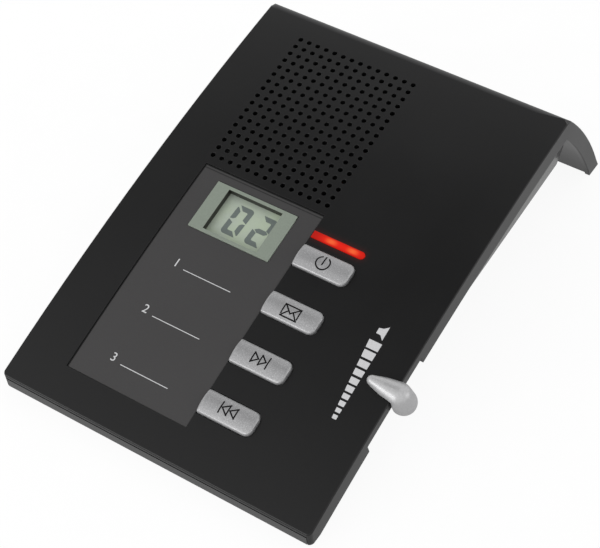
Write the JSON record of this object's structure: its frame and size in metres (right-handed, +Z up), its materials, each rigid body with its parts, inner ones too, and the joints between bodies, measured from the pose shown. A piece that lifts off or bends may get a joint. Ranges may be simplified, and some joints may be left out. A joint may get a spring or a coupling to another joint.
{
  "type": "answering machine",
  "caption": "Flat desk answering machine: arched sloping deck on a curved rear leg, with loudspeaker grille, small display, keys and a side volume slider.",
  "frame": {"origin": "on the table, below the middle of the machine's box", "axes": "+X across the deck to the right, +Y from the front edge to the rear leg, +Z up"},
  "size_m": [0.1422, 0.22, 0.053],
  "materials": {
    "black_plastic": "fine matt black",
    "label": "printed graphite film",
    "display_frame": "satin pale grey-green",
    "display_glass": "pale grey-green display",
    "silver_plastic": "satin silver paint",
    "red_lens": "translucent red",
    "pale_plastic": "natural",
    "dark_plastic": "moulded",
    "soft_rubber": "soft",
    "cloth": "fine black cloth",
    "steel": "zinc plated",
    "magnet": "dark sintered",
    "paper_cone": "treated paper",
    "circuit_board": "green lacquer",
    "capacitor": "dark blue sleeve",
    "red_wire": "insulated wire",
    "ribbon": "grey flat cable"
  },
  "bodies": {
    "case": {"top_shell": "black_plastic", "leg_panel": "black_plastic", "base_tray": "black_plastic", "label_card": "label", "display_frame": "display_frame", "display_glass": "display_glass", "display_connectors": "soft_rubber", "key_switches": "dark_plastic", "light_bar": "red_lens", "indicator_leds": "red_lens", "slide_control": "dark_plastic", "speaker_cloth": "cloth", "speaker_gasket": "soft_rubber", "speaker_frame": "steel", "speaker_cone": "paper_cone", "speaker_magnet": "magnet", "speaker_screws": "steel", "speaker_lead": "red_wire", "microphone": "steel", "microphone_boot": "soft_rubber", "main_board": "circuit_board", "board_screws": "steel", "processor_chip": "dark_plastic", "memory_chip": "dark_plastic", "clock_crystal": "steel", "line_board": "circuit_board", "line_board_screws": "steel", "line_transformer": "magnet", "capacitors": "capacitor", "line_socket": "dark_plastic", "power_socket": "dark_plastic", "ribbon_cable": "ribbon", "front_feet": "soft_rubber", "leg_feet": "soft_rubber", "case_screws": "steel"},
    "power_key": {"key_power": "silver_plastic", "plunger_power": "pale_plastic"},
    "message_key": {"key_message": "silver_plastic", "plunger_message": "pale_plastic"},
    "next_key": {"key_next": "silver_plastic", "plunger_next": "pale_plastic"},
    "previous_key": {"key_previous": "silver_plastic", "plunger_previous": "pale_plastic"},
    "volume_slider": {"volume_knob": "silver_plastic", "slider_lever": "steel"}
  },
  "joints": [
    {"name": "power_press", "type": "slide", "parent": "case", "child": "power_key", "axis": [0, 0.2455, -0.9694], "range_m": [0, 0.0008], "stiffness_N_per_m": 900, "springref_m": -0.0004},
    {"name": "message_press", "type": "slide", "parent": "case", "child": "message_key", "axis": [0, 0.2684, -0.9633], "range_m": [0, 0.0008], "stiffness_N_per_m": 900, "springref_m": -0.0004},
    {"name": "next_press", "type": "slide", "parent": "case", "child": "next_key", "axis": [0, 0.2912, -0.9567], "range_m": [0, 0.0008], "stiffness_N_per_m": 900, "springref_m": -0.0004},
    {"name": "previous_press", "type": "slide", "parent": "case", "child": "previous_key", "axis": [0, 0.3139, -0.9495], "range_m": [0, 0.0008], "stiffness_N_per_m": 900, "springref_m": -0.0004},
    {"name": "volume_slide", "type": "slide", "parent": "case", "child": "volume_slider", "axis": [0, 0.9603, 0.279], "range_m": [-0.0155, 0.0122]}
  ]
}
